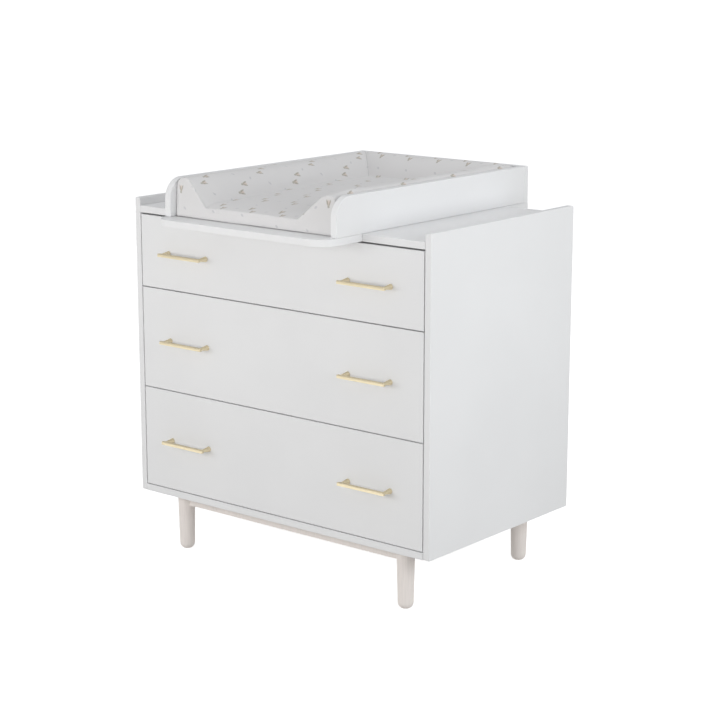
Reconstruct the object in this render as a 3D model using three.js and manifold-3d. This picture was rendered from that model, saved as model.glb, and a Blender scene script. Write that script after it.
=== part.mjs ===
// A changing table: a three-drawer cabinet on a round-legged frame, a changer tray that hooks
// over the cabinet's top, and a wedge changing mat lying in the tray.
// Millimetres, +Z up, the drawers open towards -Y, and the legs stand on z = 0.
import * as THREE from 'three';
import { mergeVertices } from 'three/addons/utils/BufferGeometryUtils.js';
import Module from 'manifold-3d';

const wasm = await Module();
wasm.setup();

// ---------------------------------------------------------------- driving dimensions

// Clearances
const fit = 0.3;                    // between pieces that touch
const grooveSlack = 0.5;            // round a thin panel in its groove

// Boards
const boardThickness = 18;
const boardEdge = 1;                // softened edge of every board
const thinBoardEdge = 1 / 8;        // most that the edge takes of a thin board's thickness
const cornerSegments = 24;          // flats round a rounded corner
const thinBoardThickness = 12;      // drawer box boards
const panelThickness = 4;           // back panel and drawer bottoms
const grooveDepth = 6;

// Cabinet body
const cabinetWidth = 960;
const cabinetDepth = 586;
const sidePanelHeight = 782;
const sidePanelCorner = 4;
const sideUpstand = 20;             // the side panels stand this far above the top board
const backPanelInset = 12;          // rear edge of the body to the back panel

// Leg frame
const legHeight = 154;
const legTopDiameter = 46;
const legFootDiameter = 37;
const legEndRound = 17;             // height of the rounded end
const legPadDiameter = 12;          // flat that the leg stands on
const legInsetX = 111;              // side of the body to the leg's axis
const legInsetY = 54;               // front or rear of the body to the leg's axis
const railThickness = 18;
const railHeight = 32;
const legBoltDiameter = 8;
const legBoltInLeg = 40;
const boardOverLegBolt = 6;         // board left above the bolt's end

// Drawers
const topFrontHeight = 187;
const gapOverTopFront = 4;
const gapRoundFronts = 2.5;
const drawerRearClearance = 52;     // drawer box to the back panel
const boxBelowFront = 14;           // bottom edge of the front to the box boards
const boxTopDrop = 36;              // top edge of the front to the box boards
const drawerBottomHeight = 10;      // bottom edge of the box boards to the drawer bottom

// Drawer runners
const runnerSpace = 13;             // side panel to drawer box
const runnerSheet = 1.2;
const runnerDrop = 4;               // rear of the front to the runner's end
const runnerAboveBox = 38;          // bottom edge of the box boards to the runner's middle
const cabinetRunner = { depth: 10, height: 45 };
const drawerRunner = { depth: 8, height: 28 };

// Handles
const handleFromSide = 183;         // side of the body to the handle's middle
const handleReach = 34;
const handleBar = 8;
const handleLength = 138;
const handlePostSpacing = 130;
const handlePostBase = 14;
const handlePostNeck = 7.6;

// Changer tray
const trayWidth = 554;
const trayHeight = 95;              // above the cabinet's top surface
const trayCorner = 50;              // front corners of the side boards and of the front shelf
const frontShelfReach = 139;        // front of the body to the shelf's front edge
const traySideSetback = 45;         // shelf's front edge to the side boards
const trayRearReach = 93;           // rear of the body to the tray's rear face
const shelfClearance = 1;           // shelves to the body's front and rear

// Changing mat
const matClearance = 4;             // mat to the side boards and the back board
const matSetback = 16;              // front of the side boards to the mat
const matHeight = 106;
const matFloor = 40;
const matFoot = 100;                // width of a bolster where it meets the mat's floor
const matCrest = 46;                // width of a bolster at its top
const matRound = 24;                // crest to outer face
const matCorner = 8;                // upright corners of the mat

// ---------------------------------------------------------------- derived places

const bodyBottom = legHeight;
const bodyTop = bodyBottom + sidePanelHeight;
const topSurface = bodyTop - sideUpstand;
const openingBottom = bodyBottom + boardThickness;
const openingTop = topSurface - boardThickness;
const innerHalf = cabinetWidth / 2 - boardThickness;
const bodyFront = -cabinetDepth / 2;
const bodyRear = cabinetDepth / 2;
const legX = cabinetWidth / 2 - legInsetX;
const legY = cabinetDepth / 2 - legInsetY;
const legBoltInBoard = boardThickness - boardOverLegBolt;

const frontHalfWidth = innerHalf - gapRoundFronts;
const boxHalfWidth = innerHalf - runnerSpace;
const boxDepth = cabinetDepth - boardThickness - backPanelInset - panelThickness - drawerRearClearance;

const trayFront = bodyFront - frontShelfReach;
const traySideFront = trayFront + traySideSetback;
const trayRear = bodyRear + trayRearReach;
const trayHalf = trayWidth / 2;
const trayBackFront = trayRear - boardThickness;

// ---------------------------------------------------------------- materials

function material(color, roughness, metalness = 0) {
  return new THREE.MeshStandardMaterial({ color, roughness, metalness });
}

const whiteLacquer = material(0xe6e7ea, 0.45);
const legLacquer = material(0xe0dad7, 0.5);
const whiteFoil = material(0xdcdcda, 0.6);
const brushedGold = material(0xcdb98c, 0.35, 1);
const zincSteel = material(0xa9acb0, 0.35, 1);
const printedFabric = material(0xe4e1de, 0.9);

// ---------------------------------------------------------------- solids and meshes

function toSolid(geometry) {
  const bare = geometry.clone();
  bare.deleteAttribute('normal');
  bare.deleteAttribute('uv');
  const merged = mergeVertices(bare);
  return new wasm.Manifold(new wasm.Mesh({
    numProp: 3,
    vertProperties: merged.attributes.position.array,
    triVerts: Uint32Array.from(merged.index.array),
  }));
}

function toGeometry(solid) {
  const { vertProperties, triVerts } = solid.getMesh();
  const geometry = new THREE.BufferGeometry();
  geometry.setAttribute('position', new THREE.BufferAttribute(vertProperties, 3));
  geometry.setIndex(new THREE.BufferAttribute(triVerts, 1));
  geometry.computeVertexNormals();
  return geometry;
}

function middle([low, high]) {
  return (low + high) / 2;
}

function length([low, high]) {
  return high - low;
}

function blockSolid(...ranges) {
  const block = new THREE.BoxGeometry(...ranges.map(length));
  return toSolid(block.translate(...ranges.map(middle)));
}

function addMesh(group, name, geometry, surface, position = [0, 0, 0], turn = 0) {
  const mesh = new THREE.Mesh(geometry, surface);
  mesh.name = name;
  mesh.position.set(...position);
  mesh.rotation.z = turn;
  group.add(mesh);
}

// Rectangle with a radius of its own at each corner, anticlockwise from the lower left.
function roundedRectangle(width, height, [lowerLeft, lowerRight, upperRight, upperLeft]) {
  const x = width / 2;
  const y = height / 2;
  const quarter = Math.PI / 2;
  const corners = [
    [-x + lowerLeft, -y + lowerLeft, lowerLeft, 2],
    [x - lowerRight, -y + lowerRight, lowerRight, 3],
    [x - upperRight, y - upperRight, upperRight, 0],
    [-x + upperLeft, y - upperLeft, upperLeft, 1],
  ];
  const shape = new THREE.Shape();
  for (const [centreX, centreY, radius, turns] of corners) {
    if (radius > 0) {
      shape.absarc(centreX, centreY, radius, turns * quarter, (turns + 1) * quarter);
    } else if (shape.curves.length === 0 && turns === 2) {
      shape.moveTo(centreX, centreY);
    } else {
      shape.lineTo(centreX, centreY);
    }
  }
  return shape;
}

// Board filling the X, Y and Z ranges, flat across its thinnest way. Radii round the corners
// of its large faces.
function boardGeometry(ranges, radii = [0, 0, 0, 0]) {
  const size = ranges.map(length);
  const thin = size.indexOf(Math.min(...size));
  const across = (thin + 1) % 3;
  const along = (thin + 2) % 3;
  const edge = Math.min(boardEdge, size[thin] * thinBoardEdge);
  const geometry = new THREE.ExtrudeGeometry(roundedRectangle(size[across], size[along], radii), {
    depth: size[thin] - 2 * edge,
    bevelThickness: edge,
    bevelSize: edge,
    bevelOffset: -edge,
    bevelSegments: 1,
    curveSegments: cornerSegments,
  });
  geometry.translate(0, 0, edge - size[thin] / 2);
  const axes = [new THREE.Vector3(1, 0, 0), new THREE.Vector3(0, 1, 0), new THREE.Vector3(0, 0, 1)];
  geometry.applyMatrix4(new THREE.Matrix4().makeBasis(axes[across], axes[along], axes[thin]));
  return geometry.translate(...ranges.map(middle));
}

// Adds a board, with cutters, in the group's coordinates, taken out of it.
function addBoard(group, name, surface, ranges, { radii, cutters = [] } = {}) {
  const position = ranges.map(middle);
  let geometry = boardGeometry(ranges, radii);
  if (cutters.length > 0) {
    geometry = toGeometry(cutters.reduce((rest, cutter) => rest.subtract(cutter), toSolid(geometry)));
  }
  addMesh(group, name, geometry.translate(...position.map((value) => -value)), surface, position);
}

// Solid of revolution about +Z, from [radius, z] points that start and end on the axis.
function turned(points, segments) {
  const outline = points.map(([radius, z]) => new THREE.Vector2(radius, z));
  return new THREE.LatheGeometry(outline, segments).rotateX(Math.PI / 2);
}

// ---------------------------------------------------------------- cabinet body

function carcass() {
  const group = new THREE.Group();
  const depth = [bodyFront, bodyRear];
  const panelY = [bodyRear - backPanelInset - panelThickness, bodyRear - backPanelInset];
  const grooveY = [panelY[0] - grooveSlack, panelY[1] + grooveSlack];
  const grooveZ = [openingBottom - grooveDepth, openingTop + grooveDepth];
  const reach = innerHalf + grooveDepth;
  const sideGroove = blockSolid([-reach, reach], grooveY, grooveZ);
  const boltHoles = [];
  for (const x of [-legX, legX]) {
    for (const y of [-legY, legY]) {
      boltHoles.push(boltSolid(x, y, fit));
    }
  }
  for (const [side, sign] of [['left', -1], ['right', 1]]) {
    const faces = [sign * innerHalf, sign * cabinetWidth / 2].sort((a, b) => a - b);
    addBoard(group, `side_panel_${side}`, whiteLacquer, [faces, depth, [bodyBottom, bodyTop]], {
      radii: Array(4).fill(sidePanelCorner),
      cutters: [sideGroove],
    });
  }
  const width = [-innerHalf + fit, innerHalf - fit];
  addBoard(group, 'top_board', whiteLacquer, [width, depth, [openingTop, topSurface]], {
    cutters: [sideGroove],
  });
  addBoard(group, 'bottom_board', whiteLacquer, [width, depth, [bodyBottom, openingBottom]], {
    cutters: [sideGroove, ...boltHoles],
  });
  const panelX = [-reach + grooveSlack, reach - grooveSlack];
  const panelZ = [grooveZ[0] + grooveSlack, grooveZ[1] - grooveSlack];
  addBoard(group, 'back_panel', whiteFoil, [panelX, panelY, panelZ]);
  return group;
}

// ---------------------------------------------------------------- leg frame

// Headless bolt from a leg's top into the bottom board, grown by a clearance for its holes.
function boltGeometry(grow) {
  const radius = legBoltDiameter / 2 + grow;
  const low = -legBoltInLeg - grow;
  const high = legBoltInBoard + grow;
  return turned([[0, low], [radius, low], [radius, high], [0, high]], 16);
}

function boltSolid(x, y, grow) {
  return toSolid(boltGeometry(grow).translate(x, y, bodyBottom));
}

function legGeometry(grow) {
  const pad = legPadDiameter / 2;
  const foot = legFootDiameter / 2 + grow;
  const points = [[0, 0], [pad, 0]];
  const steps = 8;
  for (let step = 1; step <= steps; step += 1) {
    const angle = (step / steps) * (Math.PI / 2);
    points.push([pad + (foot - pad) * Math.sin(angle), legEndRound * (1 - Math.cos(angle))]);
  }
  const top = legHeight - fit + grow;
  points.push([legTopDiameter / 2 + grow, top], [0, top]);
  return turned(points, 40);
}

function legFrame() {
  const group = new THREE.Group();
  const envelopes = [];
  for (const [end, y] of [['front', -legY], ['rear', legY]]) {
    for (const [side, x] of [['left', -legX], ['right', legX]]) {
      const whole = toSolid(legGeometry(0).translate(x, y, 0));
      const leg = toGeometry(whole.subtract(boltSolid(x, y, fit))).translate(-x, -y, 0);
      addMesh(group, `leg_${end}_${side}`, leg, legLacquer, [x, y, 0]);
      addMesh(group, `leg_bolt_${end}_${side}`, boltGeometry(0), zincSteel, [x, y, bodyBottom]);
      envelopes.push(toSolid(legGeometry(fit).translate(x, y, 0)));
    }
  }
  const railZ = [bodyBottom - fit - railHeight, bodyBottom - fit];
  const half = railThickness / 2;
  for (const [end, y] of [['front', -legY], ['rear', legY]]) {
    const ranges = [[-legX, legX], [y - half, y + half], railZ];
    addBoard(group, `rail_${end}`, legLacquer, ranges, { cutters: envelopes });
  }
  for (const [side, x] of [['left', -legX], ['right', legX]]) {
    const ranges = [[x - half, x + half], [-legY, legY], railZ];
    addBoard(group, `rail_${side}`, legLacquer, ranges, { cutters: envelopes });
  }
  return group;
}

// ---------------------------------------------------------------- drawer runners

// Sheet channel along Y from y = 0, its web on x = 0 and its flanges towards -X.
function channelGeometry({ depth, height }) {
  const half = height / 2;
  const shape = new THREE.Shape();
  shape.moveTo(0, half);
  shape.lineTo(-depth, half);
  shape.lineTo(-depth, half - runnerSheet);
  shape.lineTo(-runnerSheet, half - runnerSheet);
  shape.lineTo(-runnerSheet, runnerSheet - half);
  shape.lineTo(-depth, runnerSheet - half);
  shape.lineTo(-depth, -half);
  shape.lineTo(0, -half);
  const runnerLength = boxDepth - runnerDrop;
  const geometry = new THREE.ExtrudeGeometry(shape, { depth: runnerLength, bevelEnabled: false });
  return geometry.translate(0, 0, -runnerLength / 2).rotateX(Math.PI / 2);
}

const runnerMiddle = boardThickness + (runnerDrop + boxDepth) / 2;

function cabinetRunners(name, frontBottom) {
  const group = new THREE.Group();
  const z = frontBottom + boxBelowFront + runnerAboveBox;
  for (const [side, sign] of [['left', -1], ['right', 1]]) {
    const position = [sign * (innerHalf - fit), bodyFront + runnerMiddle, z];
    const turn = sign > 0 ? 0 : Math.PI;
    const node = `${name}_cabinet_runner_${side}`;
    addMesh(group, node, channelGeometry(cabinetRunner), zincSteel, position, turn);
  }
  return group;
}

// ---------------------------------------------------------------- drawers

// Square bar on two posts that flare towards the drawer front, which lies on y = 0.
function handleGeometry() {
  const half = handleBar / 2;
  const barMiddle = handleReach - half;
  const flare = new THREE.QuadraticBezierCurve(
    new THREE.Vector2(handlePostNeck / 2, -barMiddle),
    new THREE.Vector2((3 * handlePostNeck + handlePostBase) / 8, -barMiddle / 2),
    new THREE.Vector2(handlePostBase / 2, 0),
  );
  const outline = [new THREE.Vector2(0, -barMiddle), ...flare.getPoints(8), new THREE.Vector2(0, 0)];
  const ends = [-handleLength / 2, handleLength / 2];
  const thickness = [-handleReach, handleBar - handleReach];
  let solid = toSolid(boardGeometry([ends, thickness, [-half, half]]));
  for (const x of [-handlePostSpacing / 2, handlePostSpacing / 2]) {
    solid = solid.add(toSolid(new THREE.LatheGeometry(outline, 24).translate(x, 0, 0)));
  }
  return toGeometry(solid);
}

// Drawer with the lower edge of its front at frontBottom. Its group's origin is the middle of
// that edge, on the front's face.
function drawer(name, frontBottom, frontHeight) {
  const group = new THREE.Group();
  group.position.set(0, bodyFront, frontBottom);
  const front = [0, boardThickness];
  const boxY = [boardThickness + fit, boardThickness + boxDepth];
  const boxZ = [boxBelowFront, frontHeight - boxTopDrop];
  const boxInner = boxHalfWidth - thinBoardThickness;
  const bottomZ = [boxZ[0] + drawerBottomHeight, boxZ[0] + drawerBottomHeight + panelThickness];
  const backY = [boxY[1] - thinBoardThickness, boxY[1]];
  const grooveX = [-boxInner - grooveDepth, boxInner + grooveDepth];
  const grooveY = [boardThickness - grooveDepth, backY[0] + grooveDepth];
  const groove = blockSolid(grooveX, grooveY, [bottomZ[0] - grooveSlack, bottomZ[1] + grooveSlack]);

  const frontX = [-frontHalfWidth, frontHalfWidth];
  addBoard(group, `${name}_front`, whiteLacquer, [frontX, front, [0, frontHeight]], {
    cutters: [groove],
  });
  for (const [side, sign] of [['left', -1], ['right', 1]]) {
    const faces = [sign * boxInner, sign * boxHalfWidth].sort((a, b) => a - b);
    const ranges = [faces, boxY, boxZ];
    addBoard(group, `${name}_side_${side}`, whiteFoil, ranges, { cutters: [groove] });
    const runnerPlace = [sign * (boxHalfWidth + fit), runnerMiddle, boxZ[0] + runnerAboveBox];
    const turn = sign > 0 ? Math.PI : 0;
    const runnerNode = `${name}_drawer_runner_${side}`;
    addMesh(group, runnerNode, channelGeometry(drawerRunner), zincSteel, runnerPlace, turn);
    const handlePlace = [sign * (cabinetWidth / 2 - handleFromSide), -fit, frontHeight / 2];
    addMesh(group, `${name}_handle_${side}`, handleGeometry(), brushedGold, handlePlace);
  }
  const backX = [-boxInner + fit, boxInner - fit];
  addBoard(group, `${name}_back`, whiteFoil, [backX, backY, boxZ], { cutters: [groove] });
  const bottomX = [grooveX[0] + grooveSlack, grooveX[1] - grooveSlack];
  const bottomY = [grooveY[0] + grooveSlack, grooveY[1] - grooveSlack];
  addBoard(group, `${name}_bottom`, whiteFoil, [bottomX, bottomY, bottomZ]);
  return group;
}

// ---------------------------------------------------------------- changer tray

function changer() {
  const group = new THREE.Group();
  const sideZ = [topSurface + fit, topSurface + trayHeight];
  for (const [side, sign] of [['left', -1], ['right', 1]]) {
    const faces = [sign * (trayHalf - boardThickness), sign * trayHalf].sort((a, b) => a - b);
    const ranges = [faces, [traySideFront, trayBackFront - fit], sideZ];
    addBoard(group, `changer_side_${side}`, whiteLacquer, ranges, { radii: [0, 0, 0, trayCorner] });
  }
  const width = [-trayHalf, trayHalf];
  addBoard(group, 'changer_back', whiteLacquer, [width, [trayBackFront, trayRear], sideZ]);
  const shelfZ = [topSurface - boardThickness, topSurface];
  const frontShelfY = [trayFront, bodyFront - shelfClearance];
  addBoard(group, 'changer_front_shelf', whiteLacquer, [width, frontShelfY, shelfZ], {
    radii: [trayCorner, trayCorner, 0, 0],
  });
  const rearShelfY = [bodyRear + shelfClearance, trayRear];
  addBoard(group, 'changer_rear_shelf', whiteLacquer, [width, rearShelfY, shelfZ]);
  return group;
}

// ---------------------------------------------------------------- changing mat

// Bolster along Y, its outer face on x = 0 and its slope towards -X.
function bolsterGeometry(run) {
  const crestRound = matRound / 2;
  const shape = new THREE.Shape();
  shape.moveTo(0, 0);
  shape.lineTo(0, matHeight - matRound);
  shape.absarc(-matRound, matHeight - matRound, matRound, 0, Math.PI / 2);
  shape.lineTo(crestRound - matCrest, matHeight);
  shape.quadraticCurveTo(-matCrest, matHeight, -matCrest - crestRound, matHeight - crestRound);
  shape.lineTo(-matFoot, matFloor - fit);
  shape.lineTo(-matFoot, 0);
  const geometry = new THREE.ExtrudeGeometry(shape, { depth: run, bevelEnabled: false, curveSegments: 6 });
  return geometry.translate(0, 0, -run / 2).rotateX(Math.PI / 2);
}

function changingMat() {
  const group = new THREE.Group();
  const half = trayHalf - boardThickness - matClearance;
  const ends = [traySideFront + matSetback, trayBackFront - matClearance];
  const run = length(ends);
  const slab = blockSolid([-half, half], [-run / 2, run / 2], [0, matFloor]);
  const right = toSolid(bolsterGeometry(run).translate(half, 0, 0));
  const left = toSolid(bolsterGeometry(run).rotateZ(Math.PI).translate(-half, 0, 0));
  const rear = toSolid(bolsterGeometry(2 * half).rotateZ(Math.PI / 2).translate(0, run / 2, 0));
  const plan = new THREE.ExtrudeGeometry(roundedRectangle(2 * half, run, Array(4).fill(matCorner)), {
    depth: matHeight,
    bevelEnabled: false,
    curveSegments: 6,
  });
  const mat = slab.add(left).add(right).add(rear).intersect(toSolid(plan));
  addMesh(group, 'changing_mat', toGeometry(mat), printedFabric, [0, middle(ends), topSurface + fit]);
  return group;
}

// ---------------------------------------------------------------- assembly

const topFrontBottom = openingTop - gapOverTopFront - topFrontHeight;
const deepFrontHeight = (topFrontBottom - openingBottom - 3 * gapRoundFronts) / 2;
const middleFrontBottom = topFrontBottom - gapRoundFronts - deepFrontHeight;
const drawers = [
  ['drawer_top', topFrontBottom, topFrontHeight],
  ['drawer_middle', middleFrontBottom, deepFrontHeight],
  ['drawer_bottom', openingBottom + gapRoundFronts, deepFrontHeight],
];

const changingTable = new THREE.Group();
changingTable.name = 'changing_table';
changingTable.position.y = -middle([trayFront, trayRear]);
changingTable.add(carcass(), legFrame(), changer(), changingMat());
for (const [name, frontBottom, frontHeight] of drawers) {
  changingTable.add(cabinetRunners(name, frontBottom), drawer(name, frontBottom, frontHeight));
}

export default changingTable;
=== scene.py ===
"""Chest of three drawers with a lift-off changing tray and a wedge changing mat.

Lengths are in metres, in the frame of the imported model: x to the right, y to the rear, z up.
"""

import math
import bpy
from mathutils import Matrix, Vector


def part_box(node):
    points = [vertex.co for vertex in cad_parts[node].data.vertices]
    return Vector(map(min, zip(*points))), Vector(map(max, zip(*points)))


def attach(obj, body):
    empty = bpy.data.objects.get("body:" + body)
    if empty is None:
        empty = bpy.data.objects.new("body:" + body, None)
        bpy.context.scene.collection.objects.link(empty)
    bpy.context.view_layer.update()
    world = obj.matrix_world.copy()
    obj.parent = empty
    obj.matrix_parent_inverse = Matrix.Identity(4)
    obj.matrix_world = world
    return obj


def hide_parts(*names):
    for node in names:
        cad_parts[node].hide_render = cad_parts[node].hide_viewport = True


bl_info = {
    "name": "Changing Table",
    "version": (1, 0, 0),
    "blender": (4, 5, 0),
    "location": "View3D > Sidebar > Changing Table",
    "description": "Finishes, turned legs, handles, fixings and soft mat of a changing table",
    "category": "Object",
}

import bmesh
import bpy
from bpy.props import FloatProperty, FloatVectorProperty, IntProperty, PointerProperty
from mathutils import Matrix, Vector, noise
from mathutils.bvhtree import BVHTree

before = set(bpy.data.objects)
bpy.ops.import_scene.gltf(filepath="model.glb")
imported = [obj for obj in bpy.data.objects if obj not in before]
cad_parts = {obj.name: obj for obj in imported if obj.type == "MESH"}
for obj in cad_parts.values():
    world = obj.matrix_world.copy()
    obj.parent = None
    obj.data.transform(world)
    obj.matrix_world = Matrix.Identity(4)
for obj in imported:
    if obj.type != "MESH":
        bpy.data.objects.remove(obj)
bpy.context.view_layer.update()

DRAWERS = ("drawer_top", "drawer_middle", "drawer_bottom")
SIDES = ("left", "right")
LEGS = [f"leg_{end}_{side}" for end in ("front", "rear") for side in SIDES]
MM = 0.001


# --- settings


def length(name, default, text):
    """A length in metres that a user may change."""
    return FloatProperty(
        name=name, description=text, default=default, min=0, precision=4, subtype="DISTANCE", unit="LENGTH",
    )


def colour(name, default, text):
    """A colour, in linear light, that a user may change."""
    return FloatVectorProperty(
        name=name, description=text, default=default, size=3, min=0, max=1, subtype="COLOR"
    )


def amount(name, default, text, **kind):
    """A number, with a unit or a subtype where one fits, that a user may change."""
    return FloatProperty(name=name, description=text, default=default, **kind)


class LacquerSettings(bpy.types.PropertyGroup):
    body: colour("Body lacquer", (0.80, 0.80, 0.805), "Colour of the boards and drawer fronts")
    leg: colour("Leg lacquer", (0.87, 0.81, 0.772), "Colour of the legs and their frame")
    foil: colour("Foil", (0.70, 0.69, 0.665), "Colour of the drawer boxes and the back panel")
    peel: length("Peel height", 0.02 * MM, "Height of the lacquer's fine orange peel")
    roughness: amount("Roughness", 0.42, "Roughness of the body lacquer", min=0, max=1, subtype="FACTOR")


class LegSettings(bpy.types.PropertyGroup):
    top: length("Top diameter", 46 * MM, "Diameter of a leg where it meets the frame")
    foot: length("Foot diameter", 40 * MM, "Diameter of a leg above its rounded end")
    end: length("End height", 17 * MM, "Height of the rounded end")
    pad: length("Pad diameter", 12 * MM, "Diameter of the flat that stands on the floor")


class HandleSettings(bpy.types.PropertyGroup):
    gold: colour("Metal", (0.74, 0.645, 0.45), "Colour of the brushed handles")
    bar: length("Bar thickness", 8 * MM, "Side of the square bar")
    spacing: length("Post spacing", 130 * MM, "Middle of one post to middle of the other")
    neck: length("Post neck", 7.6 * MM, "Diameter of a post under the bar")
    base: length("Post base", 14 * MM, "Diameter of a post on the drawer front")
    edge: length("Edge radius", 0.7 * MM, "Rounding of the bar's edges")
    screw: length("Screw head", 8 * MM, "Diameter of the screw heads inside the drawers")


class MatSettings(bpy.types.PropertyGroup):
    cotton: colour("Cotton", (0.70, 0.69, 0.69), "Ground colour of the cover")
    leaf: colour("Leaf", (0.335, 0.31, 0.245), "Colour of the sprigs' leaves")
    bud: colour("Bud", (0.64, 0.53, 0.46), "Tint between the leaves")
    dash: colour("Small leaf", (0.52, 0.52, 0.54), "Colour of the small scattered leaves")
    row: length("Row spacing", 48 * MM, "Distance between rows of sprigs")
    repeat: length("Sprig spacing", 100 * MM, "Distance along a row between a sprig and a small leaf")
    foot: length("Bolster foot", 100 * MM, "Outer face to the line where a bolster meets the floor")
    crest: length("Bolster crest", 38 * MM, "Outer face to a bolster's crest")
    floor: length("Floor height", 44 * MM, "Underside to the top of the mat's floor")
    front_floor: length("Front floor height", 29 * MM, "Underside to the top of the floor at its front seam")
    outer_round: length("Outer rounding", 25 * MM, "Rounding from a bolster's crest to its outer face")
    bulge: length("Bolster bulge", 3 * MM, "How far a bolster's slope stands out from straight")
    cell: length("Mesh cell", 6 * MM, "Size of a cell of the cloth")
    swell: length("Swell", 6 * MM, "Furthest that the filling pushes the cover out")
    pressure: amount("Pressure", 4, "Pressure of the filling", min=0)
    frames: IntProperty(name="Frames", description="Frames of cloth simulation", default=20, min=2)


class StageSettings(bpy.types.PropertyGroup):
    floor: colour("Floor", (0.86, 0.86, 0.86), "Colour of the floor")
    sky: colour("Surroundings", (0.97, 0.985, 1.0), "Colour of the light from all round")
    ground: colour("Ground", (1.0, 0.985, 0.96), "Colour of the light off the ground")
    sky_power: amount("Surrounding light", 0.53, "Strength of the light from above")
    ground_power: amount("Light from below", 0.45, "Strength of the light off the ground")
    floor_glow: amount("Floor glow", 0.66, "Light that the floor gives off")
    key_power: amount("Key light", 20.5, "Power of the front light", unit="POWER")
    side_power: amount("Side light", 22.5, "Power of the right-hand light", unit="POWER")
    top_power: amount("Top light", 14, "Power of the light overhead", unit="POWER")
    distance: length("Camera distance", 5.0074, "Camera to the point that it looks at")
    azimuth: amount(
        "Camera azimuth", math.radians(39.387), "Camera's angle round the object, from the front",
        subtype="ANGLE", unit="ROTATION",
    )
    elevation: amount(
        "Camera elevation", math.radians(12.733), "Camera's angle above the floor",
        subtype="ANGLE", unit="ROTATION",
    )
    lens: amount("Lens", 97.18, "Focal length on a 36 mm sensor", unit="CAMERA")
    target: FloatVectorProperty(
        name="Camera target", description="Point that the camera looks at",
        default=(0.0262, 0.0268, 0.5262), subtype="XYZ", unit="LENGTH",
    )


# --- shader nodes


def maths(operation, swapped=False):
    """A method that adds one Math node for its operands, in their order or the other way round."""

    def method(*values):
        sockets = dict(enumerate(values[::-1] if swapped else values))
        return values[0].nodes.node("Math", {"operation": operation}, sockets)

    return method


class Field:
    """A number that varies over a surface. Arithmetic on it adds Math nodes."""

    def __init__(self, nodes, socket):
        self.nodes = nodes
        self.socket = socket

    __add__ = __radd__ = maths("ADD")
    __sub__ = maths("SUBTRACT")
    __rsub__ = maths("SUBTRACT", swapped=True)
    __mul__ = __rmul__ = maths("MULTIPLY")
    __truediv__ = maths("DIVIDE")
    __rtruediv__ = maths("DIVIDE", swapped=True)
    __mod__ = maths("FLOORED_MODULO")
    __abs__ = maths("ABSOLUTE")
    floor = maths("FLOOR")
    wave = maths("SINE")
    sign = maths("SIGN")
    largest = maths("MAXIMUM")

    def ramp(self, low, high):
        """0 below low, 1 above high, smooth between."""
        limits = {"Value": self, "From Min": low, "From Max": high}
        return self.nodes.node("MapRange", {"interpolation_type": "SMOOTHSTEP"}, limits)


def shade(base, factor):
    """A colour made lighter or darker."""
    return tuple(c * factor for c in base)


class Nodes:
    """A node tree, and the one way to add a node to it."""

    def __init__(self, tree):
        self.tree = tree

    def plug(self, socket, value):
        if isinstance(value, Field):
            self.tree.links.new(value.socket, socket)
        elif socket.type == "RGBA" and len(value) == 3:
            socket.default_value = (*value, 1)
        else:
            socket.default_value = value

    def node(self, kind, settings=None, sockets=None, output=0):
        """Adds a node: its settings first, then its sockets. Gives one output, or a list for a tuple."""
        made = self.tree.nodes.new("ShaderNode" + kind)
        for key, value in (settings or {}).items():
            setattr(made, key, value)
        for key, value in (sockets or {}).items():
            self.plug(made.inputs[key], value)
        if isinstance(output, tuple):
            return [Field(self, made.outputs[name]) for name in output]
        return Field(self, made.outputs[output])

    def mix(self, share, a, b):
        """Colour a, going to colour b as share goes from 0 to 1."""
        return self.node("Mix", {"data_type": "RGBA"}, {"Factor": share, 6: a, 7: b}, output=2)

    def tones(self, share, base, low, high):
        """A colour that goes from low times to high times its strength."""
        return self.mix(share, shade(base, low), shade(base, high))


class Finish(Nodes):
    """A material in the making."""

    def __init__(self, name, **constants):
        self.material = bpy.data.materials.new(name)
        self.material.use_nodes = True
        super().__init__(self.material.node_tree)
        self.shader = next(n for n in self.tree.nodes if n.type == "BSDF_PRINCIPLED")
        self.set(**constants)

    def set(self, **values):
        """Sets the shader's sockets: base_color is Base Color, and so on."""
        for key, value in values.items():
            name = key.replace("_", " ").title().replace("Ior", "IOR")
            self.plug(self.shader.inputs[name], value)

    def place(self, stretch=(1, 1, 1)):
        """The point on the object, in metres, times a stretch along each axis."""
        point = self.node("TexCoord", output="Object")
        return self.node("VectorMath", {"operation": "MULTIPLY"}, {0: point, 1: stretch})

    def cloud(self, scale, detail=2, stretch=(1, 1, 1), vector=None):
        """Noise from 0 to 1, with about scale blobs to the metre."""
        vector = vector or self.place(stretch)
        return self.node("TexNoise", None, {"Vector": vector, "Scale": scale, "Detail": detail})

    def bump(self, height, rise, under=None):
        """A normal from a height of 0 to 1 that stands for rise metres."""
        sockets = {"Height": height, "Distance": rise, "Strength": 1.0}
        if under:
            sockets["Normal"] = under
        return self.node("Bump", None, sockets)


def made_once(build):
    """Runs a material's function once, and then gives the same material back."""
    made = []

    def get(*arguments):
        if not made:
            made.append(build(*arguments))
        return made[0]

    return get


@made_once
def sprayed_lacquer(settings):
    """Sprayed satin lacquer on board: even, with fine orange peel and slight clouding."""
    finish = Finish("sprayed_lacquer", ior=1.48, specular_ior_level=0.42)
    base = settings.body
    cloud = finish.cloud(3.5, 3)
    tone = finish.tones(cloud.ramp(0.3, 0.7), base, 0.985, 1.012)
    dust = finish.cloud(900, 1).ramp(0.74, 0.80)
    finish.set(base_color=finish.mix(dust * 0.06, tone, shade(base, 0.8)))
    finish.set(roughness=finish.cloud(28, 3) * 0.1 + (settings.roughness - 0.05))
    peel = finish.cloud(420, 2) * 0.8 + finish.cloud(90, 2) * 0.6
    finish.set(normal=finish.bump(peel, settings.peel))
    return finish.material


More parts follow.
